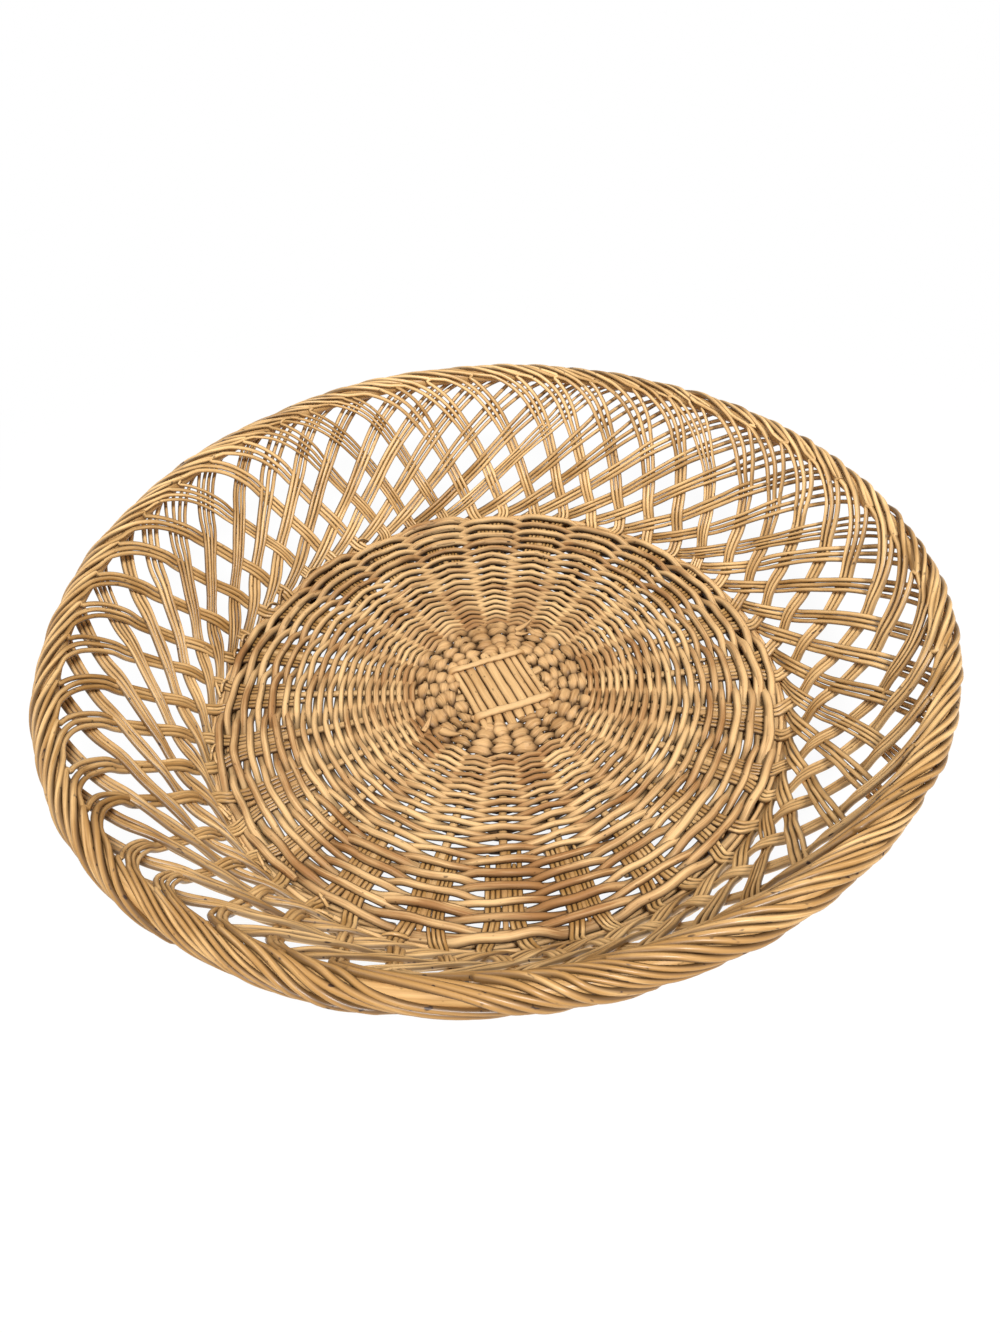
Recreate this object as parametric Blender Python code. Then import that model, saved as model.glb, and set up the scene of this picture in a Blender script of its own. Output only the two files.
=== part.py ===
"""Openwork rattan basket: a round woven base, a lattice wall of cane bundles and a rolled rim.

Units are metres, +Z is up, and the origin is on the floor under the middle of the base. Each cane
bundle is one unbroken strip: it starts beside a base spoke, turns up at the base edge, climbs the
inside of the wall, rolls over the rim hoop and comes down the outside to the foot ring, passing
over and under the bundles that it crosses.
"""

import math

import bmesh
import bpy
import numpy as np

# Overall sizes
RIM_OUTER_RADIUS = 0.225
BASE_RADIUS = 0.1655
WALL_RISE = 0.084
CLEARANCE = 0.0003

# Counts: every spoke of the base is flanked by two bundles of the wall
SPOKES = 24
BUNDLES = 2 * SPOKES
PITCH = 2 * math.pi / BUNDLES

# Cane bundles of the wall, three canes side by side
CANE_THICKNESS = 0.0024
BUNDLE_WIDTH = 0.0078
TURN_UP_INSET = 0.0030
BASE_TAIL_LENGTH = 0.0100
FOOT_TAIL_LIFT = 0.0040

# Lattice: turn of each leg between the rim and the base edge. Both curl over next to the rim, and
# the falling leg sweeps round as it nears the foot
RISING_LEAN = math.radians(11.0)
RISING_CURL = math.radians(4.6)
RISING_CURL_DEPTH = 0.0108
FALLING_LEAN = math.radians(27.0)
FALLING_CURL = math.radians(2.4)
FALLING_CURL_DEPTH = 0.0050
FOOT_SWEEP = math.radians(7.8)
FOOT_SWEEP_DEPTH = 0.0170
ROLL_PITCHES = 2
BISECTIONS = 40

# The rising leg's side of the wall's middle at each crossing from the rim down, +1 inside and -1
# outside; the falling leg has the other side. At the last one the rising leg keeps to the middle
CROSSING_SIDES = (1, 1, -1, -1, 1, -1)
CROSSING_GAP = 0.0013
FIRST_CROSSING_GAP = 0.0026
LAST_CROSSING_GAP = 0.0010
CROSSING_EASE = 0.0009

# Rim hoop
HOOP_DIAMETER = 0.0098
HOOP_STEPS = 48
HOOP_SIDES = 6
ROLL_ANGLES = (math.radians(30.0), math.radians(90.0), math.radians(150.0))

# Sticks of the centre cross, nine above and nine below; six of each run out as spokes
STICK_WIDTH = 0.0047
SPOKE_WIDTH = 0.0038
STICKS_PER_LAYER = 9
SPOKE_STICKS = (1, 2, 3, 5, 6, 7)
STICK_FUSE = 0.0001
CROSS_OVERHANG = 0.0010
SHORT_STICK_OVERHANG = 0.0020
FAN_LENGTH = 0.0162
SPOKE_OVERHANG = 0.0008
STICK_SIDES = 6
CROSS_TURN = math.radians(21.0)

# Ties across the centre cross
TIE_WIDTH = 0.0028
TIE_THICKNESS = 0.0013
TIE_INSET = 0.0038

# Peel collar round the centre cross, two strands of peel that chase each other
PEEL_WIDTH = 0.0054
PEEL_THICKNESS = 0.0019
PEEL_GAP = 0.0006
COLLAR_TURNS = 1
COLLAR_EASE = 0.0010

# Base weave, two rods that chase each other in one flat spiral
WEAVE_EDGE_INSET = 0.0018
THIN_ROD_DIAMETER = 0.0026
THICK_ROD_DIAMETER = 0.0046
INNER_ROUND_GAP = 0.0004
OUTER_ROUND_GAP = 0.0029
ROD_SIDES = 4

# Foot ring
FOOT_HEIGHT = 0.0090
FOOT_WIDTH = 0.0110
FOOT_CHAMFER = 0.0020
FOOT_GAP = 0.0015
FOOT_STEPS = 48

# Shading
SMOOTH_UP_TO = math.radians(50.0)

# Places worked out from the sizes above
TURN_UP_RADIUS = BASE_RADIUS - TURN_UP_INSET
TAIL_RADIUS = TURN_UP_RADIUS - BASE_TAIL_LENGTH
STICK_RADIUS = STICK_WIDTH / math.sqrt(3)
SPOKE_RADIUS = SPOKE_WIDTH / math.sqrt(3)
THICK_ROD_LIFT = SPOKE_RADIUS + CLEARANCE + THICK_ROD_DIAMETER / 2
BASE_MIDDLE = FOOT_HEIGHT + CLEARANCE + THICK_ROD_LIFT + THICK_ROD_DIAMETER / 2
ROLL_STEP = ROLL_ANGLES[1] - ROLL_ANGLES[0]
ROLL_INNER_RADIUS = (HOOP_DIAMETER / 2 + CLEARANCE) / math.cos(ROLL_STEP / 2) + CLEARANCE
ROLL_RADIUS = ROLL_INNER_RADIUS + CANE_THICKNESS / 2
HOOP_RADIUS = RIM_OUTER_RADIUS - ROLL_RADIUS - CANE_THICKNESS / 2
HOOP_HEIGHT = BASE_MIDDLE + WALL_RISE
WALL_LENGTH = math.hypot(HOOP_RADIUS - BASE_RADIUS, WALL_RISE)
WALL_UP = np.array([HOOP_RADIUS - BASE_RADIUS, WALL_RISE]) / WALL_LENGTH
WALL_IN = np.array([-WALL_UP[1], WALL_UP[0]])
CROSSING_OFFSET = CANE_THICKNESS / 2 + CROSSING_GAP
FIRST_CROSSING_OFFSET = CANE_THICKNESS / 2 + FIRST_CROSSING_GAP
LAST_CROSSING_OFFSET = CANE_THICKNESS + LAST_CROSSING_GAP
CROSSING_REACH = BUNDLE_WIDTH / 2 + CROSSING_EASE
FOOT_TURN_RATE = FALLING_LEAN / WALL_LENGTH + FOOT_SWEEP / FOOT_SWEEP_DEPTH
LAST_REACH = CROSSING_REACH / math.hypot(1.0, BASE_RADIUS * FOOT_TURN_RATE)
FOOT_TAIL_RADIUS = BASE_RADIUS - LAST_CROSSING_OFFSET * WALL_IN[0]
STICK_PITCH = STICK_WIDTH - STICK_FUSE
CROSS_HALF = STICK_PITCH * (STICKS_PER_LAYER - 1) / 2 + STICK_WIDTH / 2
LAYER_HEIGHT = STICK_RADIUS + CLEARANCE / 2
FAN_RADIUS = CROSS_HALF + CROSS_OVERHANG + FAN_LENGTH
COLLAR_PITCH = PEEL_WIDTH + PEEL_GAP
COLLAR_INNER_RADIUS = FAN_RADIUS + PEEL_WIDTH / 2 + COLLAR_EASE
COLLAR_OUTER_RADIUS = COLLAR_INNER_RADIUS + 2 * COLLAR_PITCH * COLLAR_TURNS
COLLAR_LIFT = STICK_RADIUS + CLEARANCE + PEEL_THICKNESS / 2 + COLLAR_EASE
WEAVE_INNER_RADIUS = COLLAR_OUTER_RADIUS + PEEL_WIDTH / 2 + THIN_ROD_DIAMETER / 2 + PEEL_GAP
WEAVE_OUTER_RADIUS = TURN_UP_RADIUS - WEAVE_EDGE_INSET
SPOKE_END_RADIUS = WEAVE_OUTER_RADIUS + SPOKE_OVERHANG
INNER_PITCH = THIN_ROD_DIAMETER + INNER_ROUND_GAP
OUTER_PITCH = THICK_ROD_DIAMETER + OUTER_ROUND_GAP
WEAVE_ROUNDS = 2 * (WEAVE_OUTER_RADIUS - WEAVE_INNER_RADIUS) / (INNER_PITCH + OUTER_PITCH)


def cylindrical(radius, turn, height):
    """The point at a distance from the axis, an angle about it and a height."""
    return np.array([radius * math.cos(turn), radius * math.sin(turn), height])


def unit(vector):
    return vector / np.linalg.norm(vector)


def plain_material(name, colour, roughness):
    """A Principled material with a plain colour."""
    material = bpy.data.materials.new(name)
    material.use_nodes = True
    shader = material.node_tree.nodes["Principled BSDF"]
    shader.inputs["Base Color"].default_value = (*colour, 1.0)
    shader.inputs["Roughness"].default_value = roughness
    shader.inputs["Metallic"].default_value = 0.0
    return material


def add_object(name, mesh, material):
    """Puts a mesh into the scene under a node's name."""
    mesh.shade_smooth()
    mesh.set_sharp_from_angle(angle=SMOOTH_UP_TO)
    mesh.materials.append(material)
    part = bpy.data.objects.new(name, mesh)
    bpy.context.scene.collection.objects.link(part)
    return part


def sweep_mesh(name, sections):
    """A closed tube through sections, each a ring of as many points, with a cap on each end."""
    build = bmesh.new()
    rings = [[build.verts.new(point) for point in section] for section in sections]
    count = len(rings[0])
    for ring, following in zip(rings, rings[1:]):
        for side in range(count):
            after = (side + 1) % count
            build.faces.new((ring[side], ring[after], following[after], following[side]))
    build.faces.new(reversed(rings[0]))
    build.faces.new(rings[-1])
    bmesh.ops.recalc_face_normals(build, faces=build.faces)
    mesh = bpy.data.meshes.new(name)
    build.to_mesh(mesh)
    build.free()
    return mesh


def section_frames(points, normals):
    """For each point of a path, the directions across it and out of it, widened for the mitre."""
    frames = []
    for index, (point, normal) in enumerate(zip(points, normals)):
        before = unit(point - points[max(index - 1, 0)]) if index else None
        after = unit(points[index + 1] - point) if index + 1 < len(points) else before
        before = after if before is None else before
        tangent = unit(before + after)
        across = unit(np.cross(normal, tangent))
        outward = np.cross(tangent, across)
        across = across / math.sqrt(1 - np.dot(across, before) ** 2)
        outward = outward / math.sqrt(1 - np.dot(outward, before) ** 2)
        frames.append((across, outward))
    return frames


def flat_sections(points, normals, width, thickness):
    """Rectangular sections, the width across the path and the thickness along the normal."""
    corners = ((-1, -1), (1, -1), (1, 1), (-1, 1))
    sections = []
    for point, (across, outward) in zip(points, section_frames(points, normals)):
        half = across * width / 2, outward * thickness / 2
        sections.append([point + half[0] * a + half[1] * b for a, b in corners])
    return sections


def round_sections(points, normals, radii, sides, start=0.0):
    """Regular sections with a corner at the angle start from the direction across the path."""
    angles = [start + 2 * math.pi * side / sides for side in range(sides)]
    sections = []
    for point, radius, (across, outward) in zip(points, radii, section_frames(points, normals)):
        sections.append(
            [point + radius * (across * math.cos(a) + outward * math.sin(a)) for a in angles]
        )
    return sections


def rising_turn(depth):
    """How far the rising leg has turned at a depth below the hoop: an even lean and a curl at the rim."""
    curl = RISING_CURL * (1 - math.exp(-depth / RISING_CURL_DEPTH))
    return RISING_LEAN * depth / WALL_LENGTH + curl


def falling_turn(depth):
    """The same for the falling leg, with a sweep that grows towards the foot."""
    curl = FALLING_CURL * (1 - math.exp(-depth / FALLING_CURL_DEPTH))
    sweep = FOOT_SWEEP * math.exp((depth - WALL_LENGTH) / FOOT_SWEEP_DEPTH)
    return FALLING_LEAN * depth / WALL_LENGTH + curl + sweep


def crossing_depth(number):
    """The depth below the hoop at which a rising leg meets its falling leg of that number."""
    low, high = 0.0, WALL_LENGTH
    for _ in range(BISECTIONS):
        depth = (low + high) / 2
        met = ROLL_PITCHES * PITCH + rising_turn(depth) + falling_turn(depth)
        low, high = (depth, high) if met < number * PITCH else (low, depth)
    return depth


def wall_point(depth, offset, turn):
    """A point of the wall at a depth below the hoop and an offset inwards from its middle."""
    radius, height = np.array([HOOP_RADIUS, HOOP_HEIGHT]) - WALL_UP * depth + WALL_IN * offset
    return cylindrical(radius, turn, height)


def wall_normal(turn):
    return cylindrical(WALL_IN[0], turn, WALL_IN[1])


def rising_stations(depths):
    """Depth and offset of the rising leg, from the base edge up: flat wherever it crosses, and in
    the middle at the last crossing, where two falling legs lie close above each other."""
    last = len(depths) - 1
    stations = [(depths[last] + CROSSING_REACH, 0.0), (depths[last] - CROSSING_REACH, 0.0)]
    for index in range(last - 1, 0, -1):
        side = CROSSING_SIDES[index]
        offset = side * CROSSING_OFFSET
        if index == 1:
            stations.append((depths[index], side * FIRST_CROSSING_OFFSET))
            continue
        if CROSSING_SIDES[index + 1] != side:
            stations.append((depths[index] + CROSSING_REACH, offset))
        if CROSSING_SIDES[index - 1] != side:
            stations.append((depths[index] - CROSSING_REACH, offset))
    stations.append((depths[0], CROSSING_SIDES[0] * ROLL_RADIUS))
    return stations


def falling_stations(depths):
    """Depth and offset of the falling leg, from the rim down to the base edge: straight from one
    crossing to the next, then flat at the last crossing and again outside the base edge."""
    stations = [(depths[0], -CROSSING_SIDES[0] * ROLL_RADIUS)]
    stations.append((depths[1], -CROSSING_SIDES[1] * FIRST_CROSSING_OFFSET))
    for depth, side in zip(depths[2:-1], CROSSING_SIDES[2:-1]):
        stations.append((depth, -side * CROSSING_OFFSET))
    stations.append((depths[-2] + LAST_REACH, stations[-1][1]))
    for depth in (depths[-1] - LAST_REACH, depths[-1] + LAST_REACH):
        stations.append((depth, -CROSSING_SIDES[-1] * LAST_CROSSING_OFFSET))
    for depth in (WALL_LENGTH - LAST_REACH, WALL_LENGTH):
        stations.append((depth, -LAST_CROSSING_OFFSET))
    return stations


def tail_lateral(radius):
    """How far a bundle's middle lies from its spoke's middle where it runs beside it."""
    beside = SPOKE_WIDTH / 2 + CLEARANCE + BUNDLE_WIDTH / 2
    edge = BASE_RADIUS * math.sin(PITCH / 2)
    return beside + (edge - beside) * (radius - TAIL_RADIUS) / (BASE_RADIUS - TAIL_RADIUS)


def bundle_path(side):
    """Points and normals of one bundle whose spoke lies at angle zero, on that side of it."""
    depths = [crossing_depth(ROLL_PITCHES + 1 + index) for index in range(len(CROSSING_SIDES))]
    points, normals = [], []
    for radius in (TAIL_RADIUS, TURN_UP_RADIUS):
        points.append(np.array([radius, side * tail_lateral(radius), BASE_MIDDLE]))
        normals.append(np.array([0.0, 0.0, 1.0]))
    start = side * PITCH / 2
    rim_turn = start + rising_turn(WALL_LENGTH)
    for depth, offset in rising_stations(depths):
        turn = rim_turn - rising_turn(depth)
        points.append(wall_point(depth, offset, turn))
        normals.append(wall_normal(turn))
    for angle in ROLL_ANGLES:
        turn = rim_turn + ROLL_PITCHES * PITCH * angle / math.pi
        around = WALL_IN * math.cos(angle) + WALL_UP * math.sin(angle)
        radius, height = np.array([HOOP_RADIUS, HOOP_HEIGHT]) + around * ROLL_RADIUS
        points.append(cylindrical(radius, turn, height))
        normals.append(cylindrical(around[0], turn, around[1]))
    for depth, offset in falling_stations(depths):
        turn = rim_turn + ROLL_PITCHES * PITCH + falling_turn(depth)
        points.append(wall_point(depth, offset, turn))
        normals.append(-wall_normal(turn))
    fall = points[-1][2] - FOOT_TAIL_LIFT
    turn += FOOT_TURN_RATE * fall
    points.append(cylindrical(FOOT_TAIL_RADIUS, turn, FOOT_TAIL_LIFT))
    normals.append(cylindrical(1.0, turn, 0.0))
    return points, normals


def make_lattice():
    """The bundles of the wall: one mesh for each side of a spoke, turned to every spoke."""
    material = plain_material("wall cane", (0.60, 0.38, 0.18), 0.5)
    meshes = []
    for side in (-1, 1):
        points, normals = bundle_path(side)
        sections = flat_sections(points, normals, BUNDLE_WIDTH, CANE_THICKNESS)
        meshes.append(sweep_mesh("lattice bundle", sections))
    for index in range(BUNDLES):
        spoke, side = divmod(index, 2)
        mesh = meshes[side]
        if index < 2:
            part = add_object(f"lattice_bundle_{index + 1:02d}", mesh, material)
        else:
            part = bpy.data.objects.new(f"lattice_bundle_{index + 1:02d}", mesh)
            bpy.context.scene.collection.objects.link(part)
        part.rotation_euler.z = CROSS_TURN + PITCH + 2 * PITCH * spoke


def spun_ring(name, profile, steps, material):
    """A closed ring: a profile of radius and height points, turned once about the axis."""
    build = bmesh.new()
    corners = [build.verts.new((radius, 0.0, height)) for radius, height in profile]
    edges = [build.edges.new((a, b)) for a, b in zip(corners, corners[1:] + corners[:1])]
    bmesh.ops.spin(
        build,
        geom=corners + edges,
        cent=(0, 0, 0),
        axis=(0, 0, 1),
        angle=2 * math.pi,
        steps=steps,
        use_merge=True,
        use_duplicate=False,
    )
    bmesh.ops.recalc_face_normals(build, faces=build.faces)
    mesh = bpy.data.meshes.new(name)
    build.to_mesh(mesh)
    build.free()
    return add_object(name, mesh, material)


def make_rim_hoop():
    """The rod that the bundles roll over; its corners are set out so that its flats keep the size."""
    turns = [2 * math.pi * side / HOOP_SIDES for side in range(HOOP_SIDES)]
    radius = HOOP_DIAMETER / 2
    profile = [
        (HOOP_RADIUS + radius * math.cos(turn), HOOP_HEIGHT + radius * math.sin(turn))
        for turn in turns
    ]
    material = plain_material("hoop rod", (0.66, 0.43, 0.20), 0.5)
    spun_ring("rim_hoop", profile, HOOP_STEPS, material)


def make_foot_ring():
    """The border that the basket stands on, flat underneath, inside the ends of the bundles."""
    outer = FOOT_TAIL_RADIUS - CANE_THICKNESS / 2 - FOOT_GAP
    inner = outer - FOOT_WIDTH
    profile = [
        (inner + FOOT_CHAMFER, 0.0),
        (outer - FOOT_CHAMFER, 0.0),
        (outer, FOOT_CHAMFER),
        (outer, FOOT_HEIGHT),
        (inner, FOOT_HEIGHT),
        (inner, FOOT_CHAMFER),
    ]
    material = plain_material("foot border", (0.58, 0.37, 0.18), 0.55)
    spun_ring("foot_ring", profile, FOOT_STEPS, material)


def spoke_turn(index):
    """The angle of a spoke; the first six leave one side of the centre cross, then the next six."""
    return CROSS_TURN + PITCH * (2 * index - len(SPOKE_STICKS) + 1)


def stick_paths(quarter_turn, level):
    """The paths of one layer's sticks, each as points, section radii and whether it is a spoke."""
    paths = []
    for stick in range(STICKS_PER_LAYER):
        lateral = (stick - (STICKS_PER_LAYER - 1) / 2) * STICK_PITCH
        if stick not in SPOKE_STICKS:
            reach = CROSS_HALF + SHORT_STICK_OVERHANG
            local = [(-reach, lateral, level), (reach, lateral, level)]
            radii = [STICK_RADIUS, STICK_RADIUS]
        else:
            place = SPOKE_STICKS.index(stick)
            angle = PITCH * (2 * place - len(SPOKE_STICKS) + 1)
            half = [(CROSS_HALF + CROSS_OVERHANG, lateral, level)]
            for radius in (FAN_RADIUS, SPOKE_END_RADIUS):
                half.append((radius * math.cos(angle), radius * math.sin(angle), 0.0))
            local = [(-x, y, z) for x, y, z in reversed(half)] + half
            radii = [SPOKE_RADIUS] * 2 + [STICK_RADIUS] * 2 + [SPOKE_RADIUS] * 2
        turn = CROSS_TURN + quarter_turn
        c, s = math.cos(turn), math.sin(turn)
        points = [np.array([c * x - s * y, s * x + c * y, BASE_MIDDLE + z]) for x, y, z in local]
        paths.append((points, radii))
    return paths


def make_stick_layer(name, quarter_turn, level, material):
    """One layer of the centre cross: sticks side by side, grown together where they touch."""
    others = bpy.data.collections.new(name + " sticks")
    up = np.array([0.0, 0.0, 1.0])
    for number, (points, radii) in enumerate(stick_paths(quarter_turn, level)):
        sections = round_sections(points, [up] * len(points), radii, STICK_SIDES, math.pi / 2)
        mesh = sweep_mesh(name, sections)
        if number == 0:
            layer = add_object(name, mesh, material)
        else:
            stick = bpy.data.objects.new(f"{name} stick {number}", mesh)
            stick.hide_render = True
            stick.display_type = "WIRE"
            others.objects.link(stick)
    union = layer.modifiers.new("Sticks", "BOOLEAN")
    union.operation = "UNION"
    union.operand_type = "COLLECTION"
    union.collection = others
    return layer


def make_centre_cross():
    """Two layers of sticks, crosswise, and two flat ties over the upper one."""
    sticks = plain_material("base stick", (0.67, 0.48, 0.27), 0.6)
    make_stick_layer("cross_sticks_upper", math.pi / 2, LAYER_HEIGHT, sticks)
    make_stick_layer("cross_sticks_lower", 0.0, -LAYER_HEIGHT, sticks)
    ties = plain_material("tie peel", (0.74, 0.55, 0.32), 0.5)
    top = BASE_MIDDLE + LAYER_HEIGHT + STICK_RADIUS + CLEARANCE + TIE_THICKNESS / 2
    low = BASE_MIDDLE + CLEARANCE
    side = CROSS_HALF + CLEARANCE + TIE_THICKNESS / 2
    for name, sign in (("cross_tie_front", -1), ("cross_tie_back", 1)):
        along = sign * (CROSS_HALF - TIE_INSET)
        local = ((-side, low), (-side, top), (side, top), (side, low))
        c, s = math.cos(CROSS_TURN), math.sin(CROSS_TURN)
        points = [np.array([c * x - s * along, s * x + c * along, z]) for x, z in local]
        outward = ((-1, 0), (-1, 1), (1, 1), (1, 0))
        normals = [unit(np.array([c * x, s * x, z])) for x, z in outward]
        add_object(name, sweep_mesh(name, flat_sections(points, normals, TIE_WIDTH, TIE_THICKNESS)), ties)


def make_peel_collar():
    """Strands of flat peel woven over and under the spokes, next to the centre cross."""
    material = plain_material("collar peel", (0.68, 0.47, 0.25), 0.55)
    steps = round(COLLAR_TURNS * SPOKES)
    for name, first, side in (("peel_strand_1", 0, 1), ("peel_strand_2", SPOKES // 2, -1)):
        points, normals = [], []
        for step in range(steps + 1):
            radius = COLLAR_INNER_RADIUS + 2 * COLLAR_PITCH * step / SPOKES
            over = side if step % 2 == 0 else -side
            points.append(
                cylindrical(radius, spoke_turn(first + step), BASE_MIDDLE + over * COLLAR_LIFT)
            )
            normals.append(np.array([0.0, 0.0, 1.0]))
        sections = flat_sections(points, normals, PEEL_WIDTH, PEEL_THICKNESS)
        add_object(name, sweep_mesh(name, sections), material)


def weave_radius(share):
    """The radius of the base weave at a share of its rounds; the pitch grows evenly with them."""
    grown = INNER_PITCH * share + (OUTER_PITCH - INNER_PITCH) * share * share / 2
    return WEAVE_INNER_RADIUS + WEAVE_ROUNDS * grown


def make_base_weave():
    """Two rods that chase each other outwards, over one spoke and under the next."""
    material = plain_material("base rod", (0.66, 0.46, 0.24), 0.6)
    steps = round(WEAVE_ROUNDS * SPOKES / 2)
    for name, first, side in (("base_weaver_1", 0, 1), ("base_weaver_2", SPOKES // 2, -1)):
        points, radii = [], []
        for step in range(steps + 1):
            share = step / steps
            radius = weave_radius(share)
            rod = (THIN_ROD_DIAMETER + (THICK_ROD_DIAMETER - THIN_ROD_DIAMETER) * share) / 2
            over = side if step % 2 == 0 else -side
            height = BASE_MIDDLE + over * (SPOKE_RADIUS + CLEARANCE + rod)
            turn = spoke_turn(first + step)
            beside = radius + rod > TAIL_RADIUS - CLEARANCE
            half = (tail_lateral(radius) + BUNDLE_WIDTH / 2 + rod / 2) / radius if beside else 0.0
            for shift in (-half, half) if beside else (0.0,):
                points.append(cylindrical(radius, turn + shift, height))
                radii.append(rod)
        normals = [np.array([0.0, 0.0, 1.0])] * len(points)
        sections = round_sections(points, normals, radii, ROD_SIDES)
        add_object(name, sweep_mesh(name, sections), material)


def main():
    for old in list(bpy.data.objects):
        bpy.data.objects.remove(old)
    make_lattice()
    make_rim_hoop()
    make_foot_ring()
    make_centre_cross()
    make_peel_collar()
    make_base_weave()


main()
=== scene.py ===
"""Looks of a round openwork rattan basket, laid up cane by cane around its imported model."""

import math

import bpy
import numpy as np
from mathutils import Matrix, Vector


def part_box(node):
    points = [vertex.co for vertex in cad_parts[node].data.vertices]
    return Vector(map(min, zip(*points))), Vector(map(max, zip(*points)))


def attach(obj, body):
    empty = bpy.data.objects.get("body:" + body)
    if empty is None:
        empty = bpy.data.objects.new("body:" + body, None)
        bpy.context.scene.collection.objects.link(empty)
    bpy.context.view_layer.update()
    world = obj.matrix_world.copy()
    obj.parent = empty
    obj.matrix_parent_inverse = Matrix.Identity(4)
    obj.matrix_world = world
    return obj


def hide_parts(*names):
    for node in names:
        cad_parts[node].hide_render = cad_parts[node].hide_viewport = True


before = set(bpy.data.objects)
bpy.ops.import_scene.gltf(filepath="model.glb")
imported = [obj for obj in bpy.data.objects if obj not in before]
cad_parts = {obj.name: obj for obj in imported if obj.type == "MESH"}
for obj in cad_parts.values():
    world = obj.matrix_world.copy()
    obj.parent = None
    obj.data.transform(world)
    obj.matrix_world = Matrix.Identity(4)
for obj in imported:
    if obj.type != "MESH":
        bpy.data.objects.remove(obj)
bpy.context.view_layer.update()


# Sticks of the centre cross
# Nine peeled rattan sticks lie side by side over nine more laid crosswise. The three on each side
# of the middle one run out as spokes to the base edge; the middle and outermost ones are cut off.
SPOKES = 24
BUNDLES = 2 * SPOKES
PITCH = 2 * math.pi / BUNDLES
CROSS_TURN = math.radians(21.0)
SPOKE_STICKS = (1, 2, 3, 5, 6, 7)
STICKS_PER_LAYER = 9
STICK_PITCH = 0.0049
STICK_SIZE_SHARES = np.array([0.82, 0.82, 0.84, 1.22, 1.22, 1.22, 1.22, 0.84, 0.82])
STICK_PLACES = STICK_PITCH * (np.cumsum(STICK_SIZE_SHARES) - STICK_SIZE_SHARES / 2 - STICKS_PER_LAYER / 2)
STICK_HALF_WIDTH = 0.00250
STICK_HALF_DEPTH = 0.00220
STICK_SIZES = (0.94, 1.0)
STICK_TONES = (-0.22, 0.18)
LAYER_RISE = STICK_HALF_DEPTH + 0.0003
SPOKE_HALF_WIDTH = 0.0024
SPOKE_END_HALF_WIDTH = 0.0014
SPOKE_HALF_DEPTH = 0.0017
SPOKE_NARROWS_FROM = 0.100
SPOKE_NARROWS_TO = 0.150
SPOKE_END_TONE = 0.5
CROSS_REACH = 0.0228
SHORT_STICK_REACH = 0.0275
FAN_RADIUS = 0.038
SPOKE_END_RADIUS = 0.1570
STICK_STEP = 0.0020
STICK_SIDES = 12
CENTRE_SHIFT = np.array([0.0036, -0.0052])
CENTRE_SHIFT_REACH = 0.150
WALL_TOP = 0.084
OUT_OF_ROUND = 0.001 * np.array([-1.7, -4.0, 1.45, 2.0])
OUT_OF_ROUND_TURNS = np.radians([90.0, 0.0, 144.0, 131.0])
FAR_SIDE_TRUER = 0.7
FAR_SIDE_SAG = 0.35
TURN_WAVES = ((0.008, 3, 1.1), (0.005, 7, 0.4))
TURN_WAVES_REACH = 0.22

low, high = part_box("base_weaver_1")
BASE_HEIGHT = (low.z + high.z) / 2


def way_gone(values, begin, end):
    """The share of the way from begin to end that values have gone, held between 0 and 1."""
    return np.clip((values - begin) / (end - begin), 0, 1)


def eased(share):
    """The share with a soft start and end: three times its square less twice its cube."""
    return share * share * (3 - 2 * share)


def around_axis(radius, turn, height):
    """Points at a distance from the basket's axis, a turn about it and a height."""
    return np.stack(np.broadcast_arrays(radius * np.cos(turn), radius * np.sin(turn), height), axis=-1)


def straight_up(points):
    """A normal pointing straight up for each of the points."""
    return np.broadcast_to([0.0, 0.0, 1.0], points.shape)


def hand_drift(points):
    """Pulls points a little off the true round, as a basket made by hand is. The middle of the base
    lies off centre by the centre shift, which fades out evenly towards the base edge. The rim is out
    of round by a sum of waves of none, one, two and three to the turn, less so at the far side, which
    sags instead. The turn gains two slow waves."""
    turn = np.arctan2(points[..., 1], points[..., 0])
    radius = np.hypot(points[..., 0], points[..., 1])
    lift = np.clip((points[..., 2] - BASE_HEIGHT) / WALL_TOP, 0, 1.1)
    waves = turn[..., None] * np.arange(4) + OUT_OF_ROUND_TURNS
    out = lift * (OUT_OF_ROUND * np.sin(waves)).sum(axis=-1)
    far = np.clip(np.sin(turn), 0, 1)
    slid = 1 - eased(way_gone(radius, 0, CENTRE_SHIFT_REACH))
    slow = sum(size * np.sin(count * turn + phase) for size, count, phase in TURN_WAVES)
    turn = turn + way_gone(radius, 0, TURN_WAVES_REACH) * slow
    radius = radius + out * (1 - FAR_SIDE_TRUER * far)
    drifted = around_axis(radius, turn, points[..., 2] + out * FAR_SIDE_SAG * far)
    drifted[..., :2] += CENTRE_SHIFT * slid[..., None]
    return drifted


# Brown spots on the base: place across the basket, size and strength
STAINS = ((0.004, -0.120, 0.016, 0.60), (0.024, -0.140, 0.016, 0.85), (0.020, -0.168, 0.010, 0.75),
          (-0.155, 0.040, 0.009, 0.80), (-0.088, -0.112, 0.010, 0.45), (0.120, 0.060, 0.016, 0.35),
          (0.062, -0.088, 0.009, 0.55), (-0.045, -0.140, 0.011, 0.45), (0.050, -0.112, 0.008, 0.5))


def stained(points):
    """How far years of use have browned the cane at points: a sum of round spots that fade out as a
    bell curve."""
    total = np.zeros(points.shape[:-1])
    for x, y, size, strength in STAINS:
        apart = np.hypot(points[..., 0] - x, points[..., 1] - y)
        total += strength * np.exp(-(apart / size) ** 2)
    return total


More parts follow.
